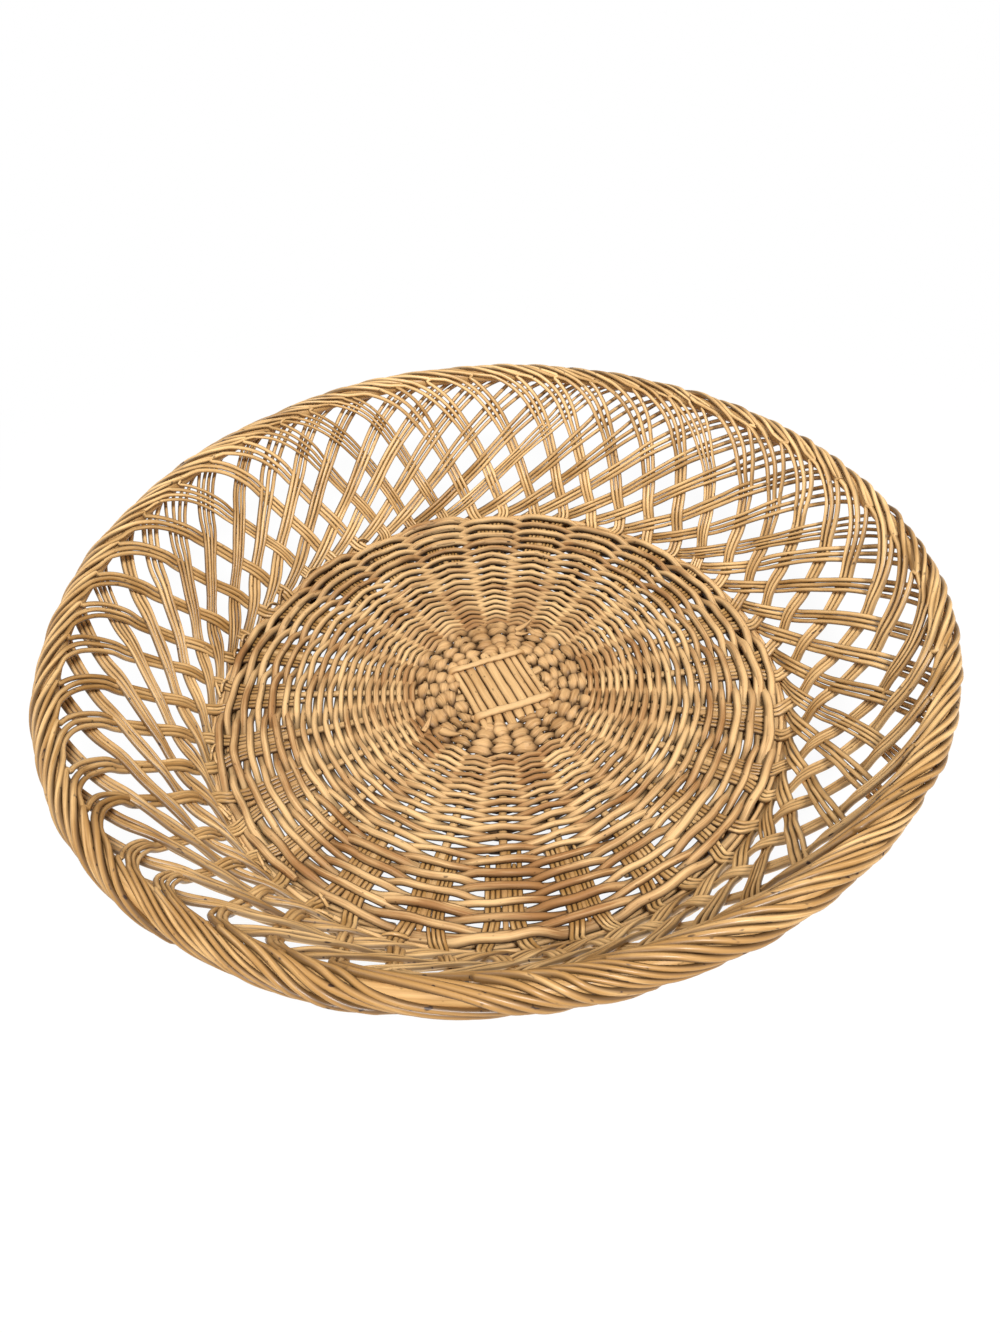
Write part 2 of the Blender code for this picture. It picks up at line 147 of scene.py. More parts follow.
def slow_noise(rng, places, wave, size):
    """A smooth random curve along places in metres: three sines near one wavelength with random
    phases, brought back to about the size."""
    total = np.zeros_like(places)
    for stretch in (0.61, 1.0, 1.7):
        total += np.sin(2 * math.pi * places / (wave * stretch) + rng.uniform(0, 2 * math.pi))
    return total * size / 1.8


def even_steps(points, step):
    """The same path with points an even step apart along it, by linear interpolation over its length."""
    length = np.concatenate([[0.0], np.cumsum(np.linalg.norm(np.diff(points, axis=0), axis=1))])
    places = np.linspace(0.0, length[-1], max(int(length[-1] / step), 2) + 1)
    return np.stack([np.interp(places, length, points[:, axis]) for axis in range(3)], axis=1)


def rounded(values, reach):
    """Softens corners of a path sampled evenly: a running mean over 2 reach + 1 samples, twice,
    with the ends carried on straight so that they stay in place."""
    kernel = np.ones(2 * reach + 1) / (2 * reach + 1)
    for _ in range(2):
        before = 2 * values[:1] - values[reach:0:-1]
        after = 2 * values[-1:] - values[-2:-reach - 2:-1]
        padded = np.concatenate([before, values, after])
        columns = [np.convolve(column, kernel, "valid") for column in padded.reshape(len(padded), -1).T]
        values = np.stack(columns, axis=1).reshape(values.shape)
    return values


CANE_SIDES = 8
CANE_END_SIZE = 0.8


def section_angles(sides):
    """The angles of the corners round a section, from its right flank over its top."""
    return 2 * math.pi * (np.arange(sides) + 0.5) / sides


def flank_shade(power=2, sides=CANE_SIDES):
    """Painted shade round a section, darkest at its flanks where it lies against its neighbours: the
    distance from its top and bottom, raised to a power.
    """
    return np.abs(np.cos(section_angles(sides))) ** power


def lay_cane(points, normals, half_width, half_depth, tone, start, crevice_shade=0.0, sides=CANE_SIDES):
    """One cane as rings of corners: ring k is point k plus cos(a) half widths across the path and
    sin(a) half depths along its normal, a little smaller at the two cut ends. Its fibre coordinate
    is the length along the cane, counted on from start, and the place in the section. Its crevice
    shade value says where the cane is painted darker as shade, between and under other parts."""
    count = len(points)
    tangents = np.gradient(points, axis=0)
    tangents /= np.linalg.norm(tangents, axis=1)[:, None]
    across = np.cross(normals, tangents)
    across /= np.linalg.norm(across, axis=1)[:, None]
    outward = np.cross(tangents, across)
    angles = section_angles(sides)
    width = np.broadcast_to(half_width, count).copy()
    depth = np.broadcast_to(half_depth, count).copy()
    width[[0, -1]] *= CANE_END_SIZE
    depth[[0, -1]] *= CANE_END_SIZE
    side = np.cos(angles)[None, :, None] * (across * width[:, None])[:, None, :]
    rise = np.sin(angles)[None, :, None] * (outward * depth[:, None])[:, None, :]
    length = np.concatenate([[0.0], np.cumsum(np.linalg.norm(np.diff(points, axis=0), axis=1))])
    fibre = np.empty((count, sides, 3))
    fibre[..., 0] = (start + length)[:, None]
    fibre[..., 1] = np.cos(angles)[None, :] * np.mean(width)
    fibre[..., 2] = np.sin(angles)[None, :] * np.mean(width)
    return {
        "rings": points[:, None, :] + side + rise,
        "fibre": fibre,
        "tone": np.broadcast_to(np.reshape(tone, (-1, 1)), (count, sides)),
        "crevice_shade": np.broadcast_to(crevice_shade, (count, sides)),
    }


def bundle_up(name, canes, material, node, crease=65):
    """Joins canes into one mesh: quads between neighbouring rings, and a cap of quads on each end.
    Edges bent by more than the crease angle in degrees stay sharp. The piece rides on the basket and
    stands for the CAD node that it is named with."""
    corners, faces, first = [], [], 0
    for cane in canes:
        count, sides = cane["rings"].shape[:2]
        ring = first + np.arange((count - 1) * sides).reshape(count - 1, sides)
        after = np.roll(ring, -1, axis=1)
        walls = np.stack([ring, after, after + sides, ring + sides], axis=-1).reshape(-1, 4)
        step = np.arange(sides // 2 - 1)
        cap = np.stack([step, step + 1, sides - 2 - step, sides - 1 - step], axis=1)
        faces += [walls, first + cap[:, ::-1], first + (count - 1) * sides + cap]
        corners.append(cane["rings"].reshape(-1, 3))
        first += count * sides
    corners = hand_drift(np.concatenate(corners))
    faces = np.concatenate(faces)
    mesh = bpy.data.meshes.new(name)
    mesh.vertices.add(len(corners))
    mesh.vertices.foreach_set("co", corners.ravel())
    mesh.loops.add(faces.size)
    mesh.loops.foreach_set("vertex_index", faces.ravel())
    mesh.polygons.add(len(faces))
    mesh.polygons.foreach_set("loop_start", np.arange(0, faces.size, 4))
    mesh.update(calc_edges=True)
    for kind, field in (("FLOAT_VECTOR", "fibre"), ("FLOAT", "tone"), ("FLOAT", "crevice_shade")):
        values = np.concatenate([cane[field].reshape(-1) for cane in canes])
        if field == "tone":
            values = values + stained(corners)
        attribute = mesh.attributes.new(field, kind, "POINT")
        attribute.data.foreach_set("vector" if kind == "FLOAT_VECTOR" else "value", values)
    mesh.shade_smooth()
    mesh.set_sharp_from_angle(angle=math.radians(crease))
    mesh.materials.append(material)
    piece = bpy.data.objects.new(name, mesh)
    bpy.context.scene.collection.objects.link(piece)
    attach(piece, "root")
    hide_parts(node)


def add_node(tree, kind, **settings):
    """A new node of a kind in a tree, with its own settings."""
    node = tree.nodes.new(kind)
    for name, value in settings.items():
        setattr(node, name, value)
    return node


def wire_math(tree, operation, first, second, clamp=False):
    """A Math node over two sockets or plain numbers; gives its output socket."""
    node = add_node(tree, "ShaderNodeMath", operation=operation, use_clamp=clamp)
    for value, socket in zip((first, second), node.inputs):
        if isinstance(value, float):
            socket.default_value = value
        else:
            tree.links.new(value, socket)
    return node.outputs[0]


def map_evenly(tree, value, begin, end, low=0.0, high=1.0):
    """Carries a value from the range of begin to end over to that of low to high, and holds it there."""
    node = add_node(tree, "ShaderNodeMapRange")
    tree.links.new(value, node.inputs[0])
    for place, number in enumerate((begin, end, low, high)):
        node.inputs[place + 1].default_value = number
    return node.outputs[0]


def stretched_noise(tree, vector, waves, detail=2.0):
    """Noise over a vector, with so many waves to the metre along each of its axes."""
    scale = add_node(tree, "ShaderNodeVectorMath", operation="MULTIPLY")
    tree.links.new(vector, scale.inputs[0])
    scale.inputs[1].default_value = waves
    noise = add_node(tree, "ShaderNodeTexNoise")
    tree.links.new(scale.outputs[0], noise.inputs["Vector"])
    noise.inputs["Scale"].default_value = 1.0
    noise.inputs["Detail"].default_value = detail
    return noise.outputs["Fac"]


def mix_colour(tree, share, first, second):
    """Mixes two colour sockets by a share from 0 to 1; the Mix node's colours are its sockets 6 and 7."""
    node = add_node(tree, "ShaderNodeMix", data_type="RGBA")
    for value, socket in ((share, 0), (first, 6), (second, 7)):
        tree.links.new(value, node.inputs[socket])
    return node.outputs[2]


# Waves to the metre of each noise: those on the fibre run along the cane and twice across it
STREAK_WAVES = (70.0, 2300.0, 2300.0)
BAND_WAVES = (14.0, 750.0, 750.0)
STRETCH_WAVES = (22.0, 60.0, 60.0)
SPECK_WAVES = (260.0, 520.0, 520.0)
BLOTCH_WAVES = (38.0, 38.0, 38.0)
SPECK_LEVELS = (0.70, 0.78)
SPECK_STRENGTH = 0.6
MIDDLE_TONE = 0.42
LEAST_ROUGHNESS = 0.42
ROUGHNESS_RANGE = 0.25


def make_cane_surface():
    """Node group for every cane: fine fibre streaks and longer bands along it, soft blotches through
    space, a tone of its own, dark specks, and painted shade where its crevice shade value is high.
    It gives colour, roughness, height."""
    group = bpy.data.node_groups.new("Cane surface", "ShaderNodeTree")
    for name in ("Pale", "Deep", "Shade and specks"):
        group.interface.new_socket(name, in_out="INPUT", socket_type="NodeSocketColor")
    for name in ("Streaks", "Blotches", "Shade strength"):
        group.interface.new_socket(name, in_out="INPUT", socket_type="NodeSocketFloat")
    group.interface.new_socket("Color", in_out="OUTPUT", socket_type="NodeSocketColor")
    for name in ("Roughness", "Height"):
        group.interface.new_socket(name, in_out="OUTPUT", socket_type="NodeSocketFloat")
    given = add_node(group, "NodeGroupInput").outputs
    fibre = add_node(group, "ShaderNodeAttribute", attribute_name="fibre").outputs["Vector"]
    tone = add_node(group, "ShaderNodeAttribute", attribute_name="tone").outputs["Fac"]
    crevice_shade = add_node(group, "ShaderNodeAttribute", attribute_name="crevice_shade").outputs["Fac"]
    place = add_node(group, "ShaderNodeTexCoord").outputs["Object"]
    fine = stretched_noise(group, fibre, STREAK_WAVES, 3.0)
    bands = stretched_noise(group, fibre, BAND_WAVES)
    stretches = stretched_noise(group, fibre, STRETCH_WAVES)
    blotches = stretched_noise(group, place, BLOTCH_WAVES, 4.0)
    specks = stretched_noise(group, fibre, SPECK_WAVES, 1.0)
    streaked = wire_math(group, "SUBTRACT", wire_math(group, "ADD", fine, bands), 1.0)
    streaked = wire_math(group, "MULTIPLY", streaked, given["Streaks"])
    patchy = wire_math(group, "SUBTRACT", wire_math(group, "ADD", blotches, stretches), 1.0)
    patchy = wire_math(group, "MULTIPLY", patchy, given["Blotches"])
    share = wire_math(group, "ADD", wire_math(group, "ADD", streaked, patchy), tone)
    share = wire_math(group, "ADD", share, MIDDLE_TONE, clamp=True)
    specked = wire_math(group, "MULTIPLY", map_evenly(group, specks, *SPECK_LEVELS), SPECK_STRENGTH)
    # Painted shade: the crevice shade value times its strength, with the dark specks added on top
    darkening = wire_math(group, "MULTIPLY", crevice_shade, given["Shade strength"])
    darkening = wire_math(group, "ADD", darkening, specked, clamp=True)
    colour = mix_colour(group, share, given["Pale"], given["Deep"])
    colour = mix_colour(group, darkening, colour, given["Shade and specks"])
    roughness = wire_math(group, "MULTIPLY", fine, ROUGHNESS_RANGE)
    roughness = wire_math(group, "ADD", roughness, LEAST_ROUGHNESS)
    height = wire_math(group, "ADD", wire_math(group, "MULTIPLY", fine, 0.5), bands)
    result = add_node(group, "NodeGroupOutput").inputs
    for value, name in ((colour, "Color"), (roughness, "Roughness"), (height, "Height")):
        group.links.new(value, result[name])
    return group


cane_surface = make_cane_surface()


def cane_material(name, *, pale, deep, painted_shade, streaks, blotches, darkening, gloss):
    """A Principled material that takes colour, roughness and fibre relief from the cane surface.
    Gloss is the weight of its coat, and more of the same in its own shine. Its third colour paints
    the shade in the crevices and the dark specks, and one strength sets how dark that painted shade is."""
    material = bpy.data.materials.new(name)
    material.use_nodes = True
    tree = material.node_tree
    shader = tree.nodes["Principled BSDF"].inputs
    surface = add_node(tree, "ShaderNodeGroup", node_tree=cane_surface)
    for socket, colour in (("Pale", pale), ("Deep", deep), ("Shade and specks", painted_shade)):
        surface.inputs[socket].default_value = (*colour, 1.0)
    for socket, value in (("Streaks", streaks), ("Blotches", blotches), ("Shade strength", darkening)):
        surface.inputs[socket].default_value = value
    bump = add_node(tree, "ShaderNodeBump")
    bump.inputs["Distance"].default_value = 0.0003
    bump.inputs["Strength"].default_value = 0.5
    tree.links.new(surface.outputs["Height"], bump.inputs["Height"])
    tree.links.new(surface.outputs["Color"], shader["Base Color"])
    tree.links.new(surface.outputs["Roughness"], shader["Roughness"])
    tree.links.new(bump.outputs[0], shader["Normal"])
    shader["Coat Weight"].default_value = gloss
    shader["Coat Roughness"].default_value = 0.25
    shader["Specular IOR Level"].default_value = 0.15 + gloss
    return material


stick_material = cane_material(
    "peeled base stick",
    pale=(0.67, 0.43, 0.20), deep=(0.42, 0.23, 0.085), painted_shade=(0.05, 0.02, 0.007),
    streaks=1.2, blotches=1.1, darkening=1.0, gloss=0.0,
)


def on_base(points, turn=CROSS_TURN):
    """Turns points of the cross's own plane about the axis and lifts them to the base."""
    x, y, z = points.T
    c, s = math.cos(turn), math.sin(turn)
    return np.stack([c * x - s * y, s * x + c * y, BASE_HEIGHT + z], axis=1)


def spoke_line(stick, layer_height):
    """Half of a stick's path on its own layer: out of the cross, then fanned to its even place."""
    lateral = STICK_PLACES[stick]
    if stick not in SPOKE_STICKS:
        return [(SHORT_STICK_REACH, lateral, layer_height)]
    angle = PITCH * (2 * SPOKE_STICKS.index(stick) - len(SPOKE_STICKS) + 1)
    line = [(CROSS_REACH, lateral, layer_height)]
    for radius in (FAN_RADIUS, SPOKE_END_RADIUS):
        line.append((radius * math.cos(angle), radius * math.sin(angle), 0.0))
    return line


def lay_sticks(name, quarter_turn, layer_height, seed, node):
    """One layer of nine sticks: each path runs through its two halves, and its section narrows
    from a cross stick to a spoke and on to the spoke's end with the distance from the axis."""
    rng = np.random.default_rng(seed)
    canes = []
    for stick in range(STICKS_PER_LAYER):
        half = np.array(spoke_line(stick, layer_height))
        line = np.concatenate([half[::-1] * (-1, 1, 1), half])
        path = rounded(even_steps(line, STICK_STEP), 2)
        along = path[:, 0].copy()
        path[:, 1] += slow_noise(rng, along, wave=0.05, size=0.00012)
        path[:, 2] += slow_noise(rng, along, wave=0.07, size=0.00012)
        away = way_gone(np.abs(along), CROSS_REACH, FAN_RADIUS)
        outer = way_gone(np.abs(along), SPOKE_NARROWS_FROM, SPOKE_NARROWS_TO)
        width = STICK_HALF_WIDTH * STICK_SIZE_SHARES[stick]
        width = width + (SPOKE_HALF_WIDTH - width) * away
        width = width + (SPOKE_END_HALF_WIDTH - SPOKE_HALF_WIDTH) * outer
        width = width * rng.uniform(*STICK_SIZES) + slow_noise(rng, along, wave=0.03, size=0.00006)
        depth = STICK_HALF_DEPTH + (SPOKE_HALF_DEPTH - STICK_HALF_DEPTH) * away
        tone = rng.uniform(*STICK_TONES) + SPOKE_END_TONE * outer
        points = on_base(path, CROSS_TURN + quarter_turn)
        # Their flanks are painted darker as shade where the sticks lie side by side.
        canes.append(lay_cane(points, straight_up(points), width, depth, tone, rng.uniform(0, 9),
                              flank_shade(8, STICK_SIDES), STICK_SIDES))
    bundle_up(name, canes, stick_material, node)


lay_sticks("upper_sticks", math.pi / 2, LAYER_RISE, 11, "cross_sticks_upper")
lay_sticks("lower_sticks", 0.0, -LAYER_RISE, 12, "cross_sticks_lower")


# Ties of the centre cross
# Two pale strips of rattan peel that run over the upper sticks, one near each end of the square,
# and go down between the sticks at both sides to hold them flat.
FRONT_TIE_HALF_WIDTH = 0.0026
BACK_TIE_HALF_WIDTH = 0.0020
TIE_HALF_DEPTH = 0.0012
TIE_PLACE = 0.0196
TIE_SKEW = math.radians(-5.0)
TIE_REACH = 0.0225
TIE_END = (TIE_REACH + 0.0012, -0.002)
TIE_RIPPLE = 0.00012
TIE_BEND_POWER = 9
TIE_END_TONE = 0.8

tie_material = cane_material(
    "pale tie peel",
    pale=(0.74, 0.50, 0.25), deep=(0.50, 0.29, 0.12), painted_shade=(0.10, 0.045, 0.015),
    streaks=0.8, blotches=0.8, darkening=0.6, gloss=0.0,
)


def lay_tie(name, end, half_width, seed, node):
    """A strip across the square: flat over the sticks with a slight ripple, bent down and browned
    at both ends, both by a high power of the way from its middle."""
    rng = np.random.default_rng(seed)
    top = LAYER_RISE + STICK_HALF_DEPTH + TIE_HALF_DEPTH
    end_reach, end_height = TIE_END
    line = np.array([(-end_reach, 0.0, end_height), (-TIE_REACH, 0.0, top),
                     (TIE_REACH, 0.0, top), (end_reach, 0.0, end_height)])
    path = rounded(even_steps(line, 0.0006), 2)
    across = path[:, 0].copy()
    path[:, 2] += TIE_RIPPLE * np.cos(2 * math.pi * across / STICK_PITCH)
    aside = slow_noise(rng, across, wave=0.03, size=0.0002)
    path[:, 1] = end * TIE_PLACE + across * math.tan(TIE_SKEW) + aside
    out = np.clip(across / TIE_REACH, -1, 1) ** TIE_BEND_POWER
    normals = around_axis(out, CROSS_TURN, 1.02 - np.abs(out))
    width = half_width + slow_noise(rng, across, wave=0.02, size=0.00018)
    tone = rng.uniform(-0.1, 0.1) + TIE_END_TONE * np.abs(out)
    # Its flanks are painted darker as shade.
    cane = lay_cane(on_base(path), normals, width, TIE_HALF_DEPTH, tone, seed,
                    flank_shade(6, STICK_SIDES), STICK_SIDES)
    bundle_up(name, [cane], tie_material, node)


lay_tie("front_tie", -1, FRONT_TIE_HALF_WIDTH, 21, "cross_tie_front")
lay_tie("back_tie", 1, BACK_TIE_HALF_WIDTH, 22, "cross_tie_back")


# Peel collar
# Two strips of soft peel that chase each other four times round the cross, over one spoke and under
# the next. Each hump swells like a bead; between the spokes the strip is pinched. Cut ends curl up.
COLLAR_START_RADIUS = 0.0268
COLLAR_ROUND_PITCH = 0.0060
COLLAR_TURNS = 4
PEEL_HALF_WIDTH = 0.0033
PEEL_PINCHED_HALF_WIDTH = 0.0019
PEEL_HALF_DEPTH = 0.0014
PEEL_PINCHED_HALF_DEPTH = 0.0016
PEEL_RISE = STICK_HALF_DEPTH + 0.0011
PEEL_STEPS_PER_SPOKE = 12
PEEL_CREASE = 24
HUMP_FLATNESS = 1.2
HUMP_FULLNESS = 1.25
HUMP_POWER = 0.9
BEAD_SIZE_SPREAD = 0.15
BEAD_ASIDE = 0.0005
BEAD_TILT = 0.6
PEEL_FLANK_SHADE = 0.5

# Cut ends: place across the basket, heading in degrees, length and breadth
PEEL_CUT_ENDS = ((0.0215, 0.0385, 15.0, 0.0115, 0.0048), (-0.0250, -0.0425, -38.0, 0.0150, 0.0064),
                 (0.0200, 0.0320, -30.0, 0.0095, 0.0042), (-0.0380, -0.0340, 60.0, 0.0095, 0.0038))
CUT_END_HALF_DEPTH = 0.0004
CUT_END_REST = STICK_HALF_DEPTH + 2.6 * PEEL_HALF_DEPTH
CUT_END_CURL = 0.45
CUT_END_TONE = -0.15

peel_material = cane_material(
    "collar peel",
    pale=(0.66, 0.405, 0.183), deep=(0.36, 0.19, 0.07), painted_shade=(0.035, 0.014, 0.005),
    streaks=1.5, blotches=1.4, darkening=1.0, gloss=0.03,
)


def spoke_angle(number, radius):
    """The angle of spoke number (counted on past a whole turn) at a distance from the axis: the
    fan's straight stretch inside the fan radius, even places outside it."""
    side, place = np.divmod(number, len(SPOKE_STICKS))
    lateral = STICK_PLACES[np.array(SPOKE_STICKS)[place.astype(int)]]
    even = PITCH * (2 * place - len(SPOKE_STICKS) + 1)
    inner_radius = np.hypot(CROSS_REACH, lateral)
    inner_angle = np.arctan2(lateral, CROSS_REACH)
    share = way_gone(radius, inner_radius, FAN_RADIUS)
    return CROSS_TURN + side * math.pi / 2 + inner_angle + (even - inner_angle) * share


def chase_turn(first, steps, radius):
    """The turn after a number of spoke steps, a fraction running evenly between two spokes."""
    number = np.floor(steps)
    share = steps - number
    before = spoke_angle(first + number, radius)
    return before + (spoke_angle(first + number + 1, radius) - before) * share


def peel_cut_end(x, y, heading, length, breadth):
    """A short pointed strip that lies on the collar and curls up at its tip: its height grows, and its
    width shrinks to a point, with the square of the way along."""
    share = np.linspace(0, 1, 10)
    angle = math.radians(heading)
    forth = np.array([math.cos(angle), math.sin(angle)])
    flat = np.array([x, y]) - CENTRE_SHIFT + length * (share - 0.5)[:, None] * forth
    height = BASE_HEIGHT + CUT_END_REST + CUT_END_CURL * length * share ** 2
    points = np.column_stack([flat, height])
    width = breadth * (0.5 - 0.42 * share ** 2)
    # Its flanks are painted darker as shade.
    return lay_cane(points, straight_up(points), width, CUT_END_HALF_DEPTH, CUT_END_TONE, length,
                    flank_shade(6))


def drawn_for_each_hump(rng, steps):
    """A random number for each hump of a strip, held over the whole hump."""
    return rng.standard_normal(COLLAR_TURNS * SPOKES + 2)[np.round(steps).astype(int)]


def lay_peel(name, first, side, seed, cut_ends, node):
    """A flat spiral strip: its height is a flattened cosine with one hump for each spoke, and its
    half width swings between the hump's and the pinch's with the same cosine."""
    rng = np.random.default_rng(seed)
    steps = np.arange(COLLAR_TURNS * SPOKES * PEEL_STEPS_PER_SPOKE + 1) / PEEL_STEPS_PER_SPOKE
    radius = COLLAR_START_RADIUS + COLLAR_ROUND_PITCH * steps / SPOKES
    wave = np.cos(math.pi * steps)
    on_spoke = np.clip(HUMP_FULLNESS * np.abs(wave) ** HUMP_POWER, 0, 1)
    rise = side * np.tanh(HUMP_FLATNESS * wave) / math.tanh(HUMP_FLATNESS)
    size = rounded(1 + BEAD_SIZE_SPREAD * drawn_for_each_hump(rng, steps), 2)
    turn = chase_turn(first, steps, radius)
    reach = radius * turn
    aside = rounded(BEAD_ASIDE * drawn_for_each_hump(rng, steps), 3)
    radius = radius + slow_noise(rng, reach, wave=0.03, size=0.0003) + aside
    height = BASE_HEIGHT + rise * PEEL_RISE * (1 + 0.10 * (size - 1))
    tilt = slow_noise(rng, reach, wave=0.02, size=BEAD_TILT)
    width = PEEL_PINCHED_HALF_WIDTH + (PEEL_HALF_WIDTH * size - PEEL_PINCHED_HALF_WIDTH) * on_spoke
    depth = PEEL_PINCHED_HALF_DEPTH + (PEEL_HALF_DEPTH - PEEL_PINCHED_HALF_DEPTH) * on_spoke
    # Painted shade: darker in the pinches between the spokes and on the strip's flanks.
    painted_shade = np.clip((1 - on_spoke)[:, None] + PEEL_FLANK_SHADE * flank_shade(3), 0, 1)
    tone = slow_noise(rng, reach, wave=0.05, size=0.20)
    strip = lay_cane(around_axis(radius, turn, height), around_axis(tilt, turn, 1.0), width, depth, tone,
                     seed, painted_shade)
    canes = [strip] + [peel_cut_end(*place) for place in cut_ends]
    bundle_up(name, canes, peel_material, node, PEEL_CREASE)


lay_peel("peel_strip_1", 0, 1, 31, PEEL_CUT_ENDS[:2], "peel_strand_1")
lay_peel("peel_strip_2", SPOKES // 2, -1, 32, PEEL_CUT_ENDS[2:], "peel_strand_2")


# Rods of the base weave
# Round rattan rods, woven by two weavers who chase each other: over one spoke, under the next.
# Thin near the collar and thicker outwards, they are joined by laying a new rod beside an old end.
WEAVE_INNER_RADIUS = 0.0512
WEAVE_OUTER_RADIUS = 0.1618
THIN_ROUND_PITCH = 0.0038
THICK_ROUND_PITCH = 0.0091
THIN_ROD_HALF = 0.00142
THICK_ROD_HALF = 0.00245
GROWTH_POWER = 1.5
INNER_ROD_SPREAD = 1.26
INNER_SPREAD_RADIUS = 0.110
BAND_START_RADIUS = 0.110
BAND_FULL_RADIUS = 0.130
EDGE_START_RADIUS = 0.1575
EDGE_FULL_RADIUS = 0.1625
POINTEDNESS = 0.985
FLATNESS = 2.1
EDGE_SETTLES = 0.3
ROD_PRESSED = 0.92
BAND_PRESSED = 0.07
ROD_STEPS_PER_SPOKE = 12
ROD_LENGTH_IN_SPOKES = 27
ROD_LENGTH_SHARES = (0.55, 1.2)
INNERMOST_ROD_LONGER = 1.6
ROD_END_PAST_SPOKE = 0.3
SHORTEST_ROD_IN_SPOKES = 4
OVERLAP_IN_SPOKES = 2.6
BESIDE_IN_SPOKES = 1.6
ROD_BUTT_SIZE = 1.10
ROD_TAPER = 0.24
ROD_SIZES = (0.92, 1.08)
ROD_TONES = (-0.32, 0.30)
# Painted shade on the rods: where they dive under or ride over a spoke, and on their flanks
DIVE_SHADE = 0.9
DIVE_SHADE_LESS_IN_BAND = 0.8
ROD_FLANK_SHADE = 0.9
ROD_TOP_LESS_SHADE = 0.5

rod_material = cane_material(
    "base rod",
    pale=(0.72, 0.467, 0.217), deep=(0.33, 0.16, 0.056), painted_shade=(0.025, 0.010, 0.004),
    streaks=1.4, blotches=1.4, darkening=1.1, gloss=0.02,
)


def grown_pitch(share):
    """The sum of the rounds' pitches up to a share of all rounds, for a weave of one turn: the pitch
    grows with the share raised to the growth power."""
    extra = (THICK_ROUND_PITCH - THIN_ROUND_PITCH) * share ** (GROWTH_POWER + 1) / (GROWTH_POWER + 1)
    return THIN_ROUND_PITCH * share + extra


WEAVE_TURNS = (WEAVE_OUTER_RADIUS - WEAVE_INNER_RADIUS) / grown_pitch(1.0)
WEAVE_SPOKES = WEAVE_TURNS * SPOKES


def rod_shade(rise, band):
    """Painted shade on a rod: high on its lower flanks, on its top where it dives under a spoke and on
    its underside where it rides over one, the last two less so in the outer band."""
    level = np.sin(section_angles(CANE_SIDES))
    hidden = np.clip(-rise[:, None] * level, 0, 1) * (1 - DIVE_SHADE_LESS_IN_BAND * band)[:, None]
    flanks = flank_shade(2.5) * (ROD_FLANK_SHADE - ROD_TOP_LESS_SHADE * level)
    return np.clip(DIVE_SHADE * hidden + flanks, 0, 1)


def lay_rod(rng, first, side, begin, end):
    """One rod of the spiral between two spoke counts. Its height is an arcsine of a cosine near the
    collar, which is pointed, and a tanh of it outwards, which is flat, where a band of canes flanks
    each spoke. It settles a little in the last round. It tapers, and its ends lie beside the next."""
    steps = np.arange(begin, end, 1 / ROD_STEPS_PER_SPOKE)
    share = steps / WEAVE_SPOKES
    radius = WEAVE_INNER_RADIUS + WEAVE_TURNS * grown_pitch(share)
    turn = chase_turn(first, steps, radius)
    reach = radius * turn
    band = way_gone(radius, BAND_START_RADIUS, BAND_FULL_RADIUS)
    edge = eased(way_gone(radius, EDGE_START_RADIUS, EDGE_FULL_RADIUS))
    spread = 1 + (INNER_ROD_SPREAD - 1) * (1 - way_gone(radius, WEAVE_INNER_RADIUS, INNER_SPREAD_RADIUS))
    half = THIN_ROD_HALF + (THICK_ROD_HALF - THIN_ROD_HALF) * share ** GROWTH_POWER
    half = half * (ROD_BUTT_SIZE - ROD_TAPER * way_gone(steps, begin, end)) * rng.uniform(*ROD_SIZES)
    half = half * (1 + slow_noise(rng, reach, wave=0.06, size=0.03))
    wave = np.cos(math.pi * steps)
    pointed = np.arcsin(POINTEDNESS * wave) / math.asin(POINTEDNESS)
    flat = np.tanh(FLATNESS * wave) / math.tanh(FLATNESS)
    rise = side * (pointed + (flat - pointed) * band)
    rise = rise * (1 - EDGE_SETTLES * edge) + side * EDGE_SETTLES * edge
    height = BASE_HEIGHT + rise * (SPOKE_HALF_DEPTH + half) * (ROD_PRESSED - BAND_PRESSED * band)
    height += slow_noise(rng, reach, wave=0.05, size=0.00015) * (0.5 + share)
    sway = slow_noise(rng, reach, wave=0.09, size=0.00045) * (0.3 + share)
    newly_laid = 1 - way_gone(steps, begin, begin + BESIDE_IN_SPOKES) if begin else 0.0
    running_out = way_gone(steps, end - BESIDE_IN_SPOKES, end)
    points = around_axis(radius + sway + (newly_laid - running_out) * half, turn, height)
    tone = rng.uniform(*ROD_TONES) + slow_noise(rng, reach, wave=0.12, size=0.12)
    return lay_cane(points, straight_up(points), half * spread, half, tone, rng.uniform(0, 9),
                    rod_shade(rise, band))


def lay_weaver(name, first, side, seed, node):
    """A spiral of rods end to end. Each ends just past a spoke that it dives under, and the next one
    begins a few spokes back beside it."""
    rng = np.random.default_rng(seed)
    below = 1 if side > 0 else 0
    last = WEAVE_SPOKES - SHORTEST_ROD_IN_SPOKES
    canes, begin = [], 0.0
    while begin < last:
        length = ROD_LENGTH_IN_SPOKES * rng.uniform(*ROD_LENGTH_SHARES)
        length *= INNERMOST_ROD_LONGER - begin / WEAVE_SPOKES
        end = 2 * round((begin + length) / 2) + below + ROD_END_PAST_SPOKE
        end = end if end < last else WEAVE_SPOKES
        canes.append(lay_rod(rng, first, side, begin, end))
        begin = end - OVERLAP_IN_SPOKES
    bundle_up(name, canes, rod_material, node)


lay_weaver("base_rods_1", 0, 1, 41, "base_weaver_1")
lay_weaver("base_rods_2", SPOKES // 2, -1, 42, "base_weaver_2")


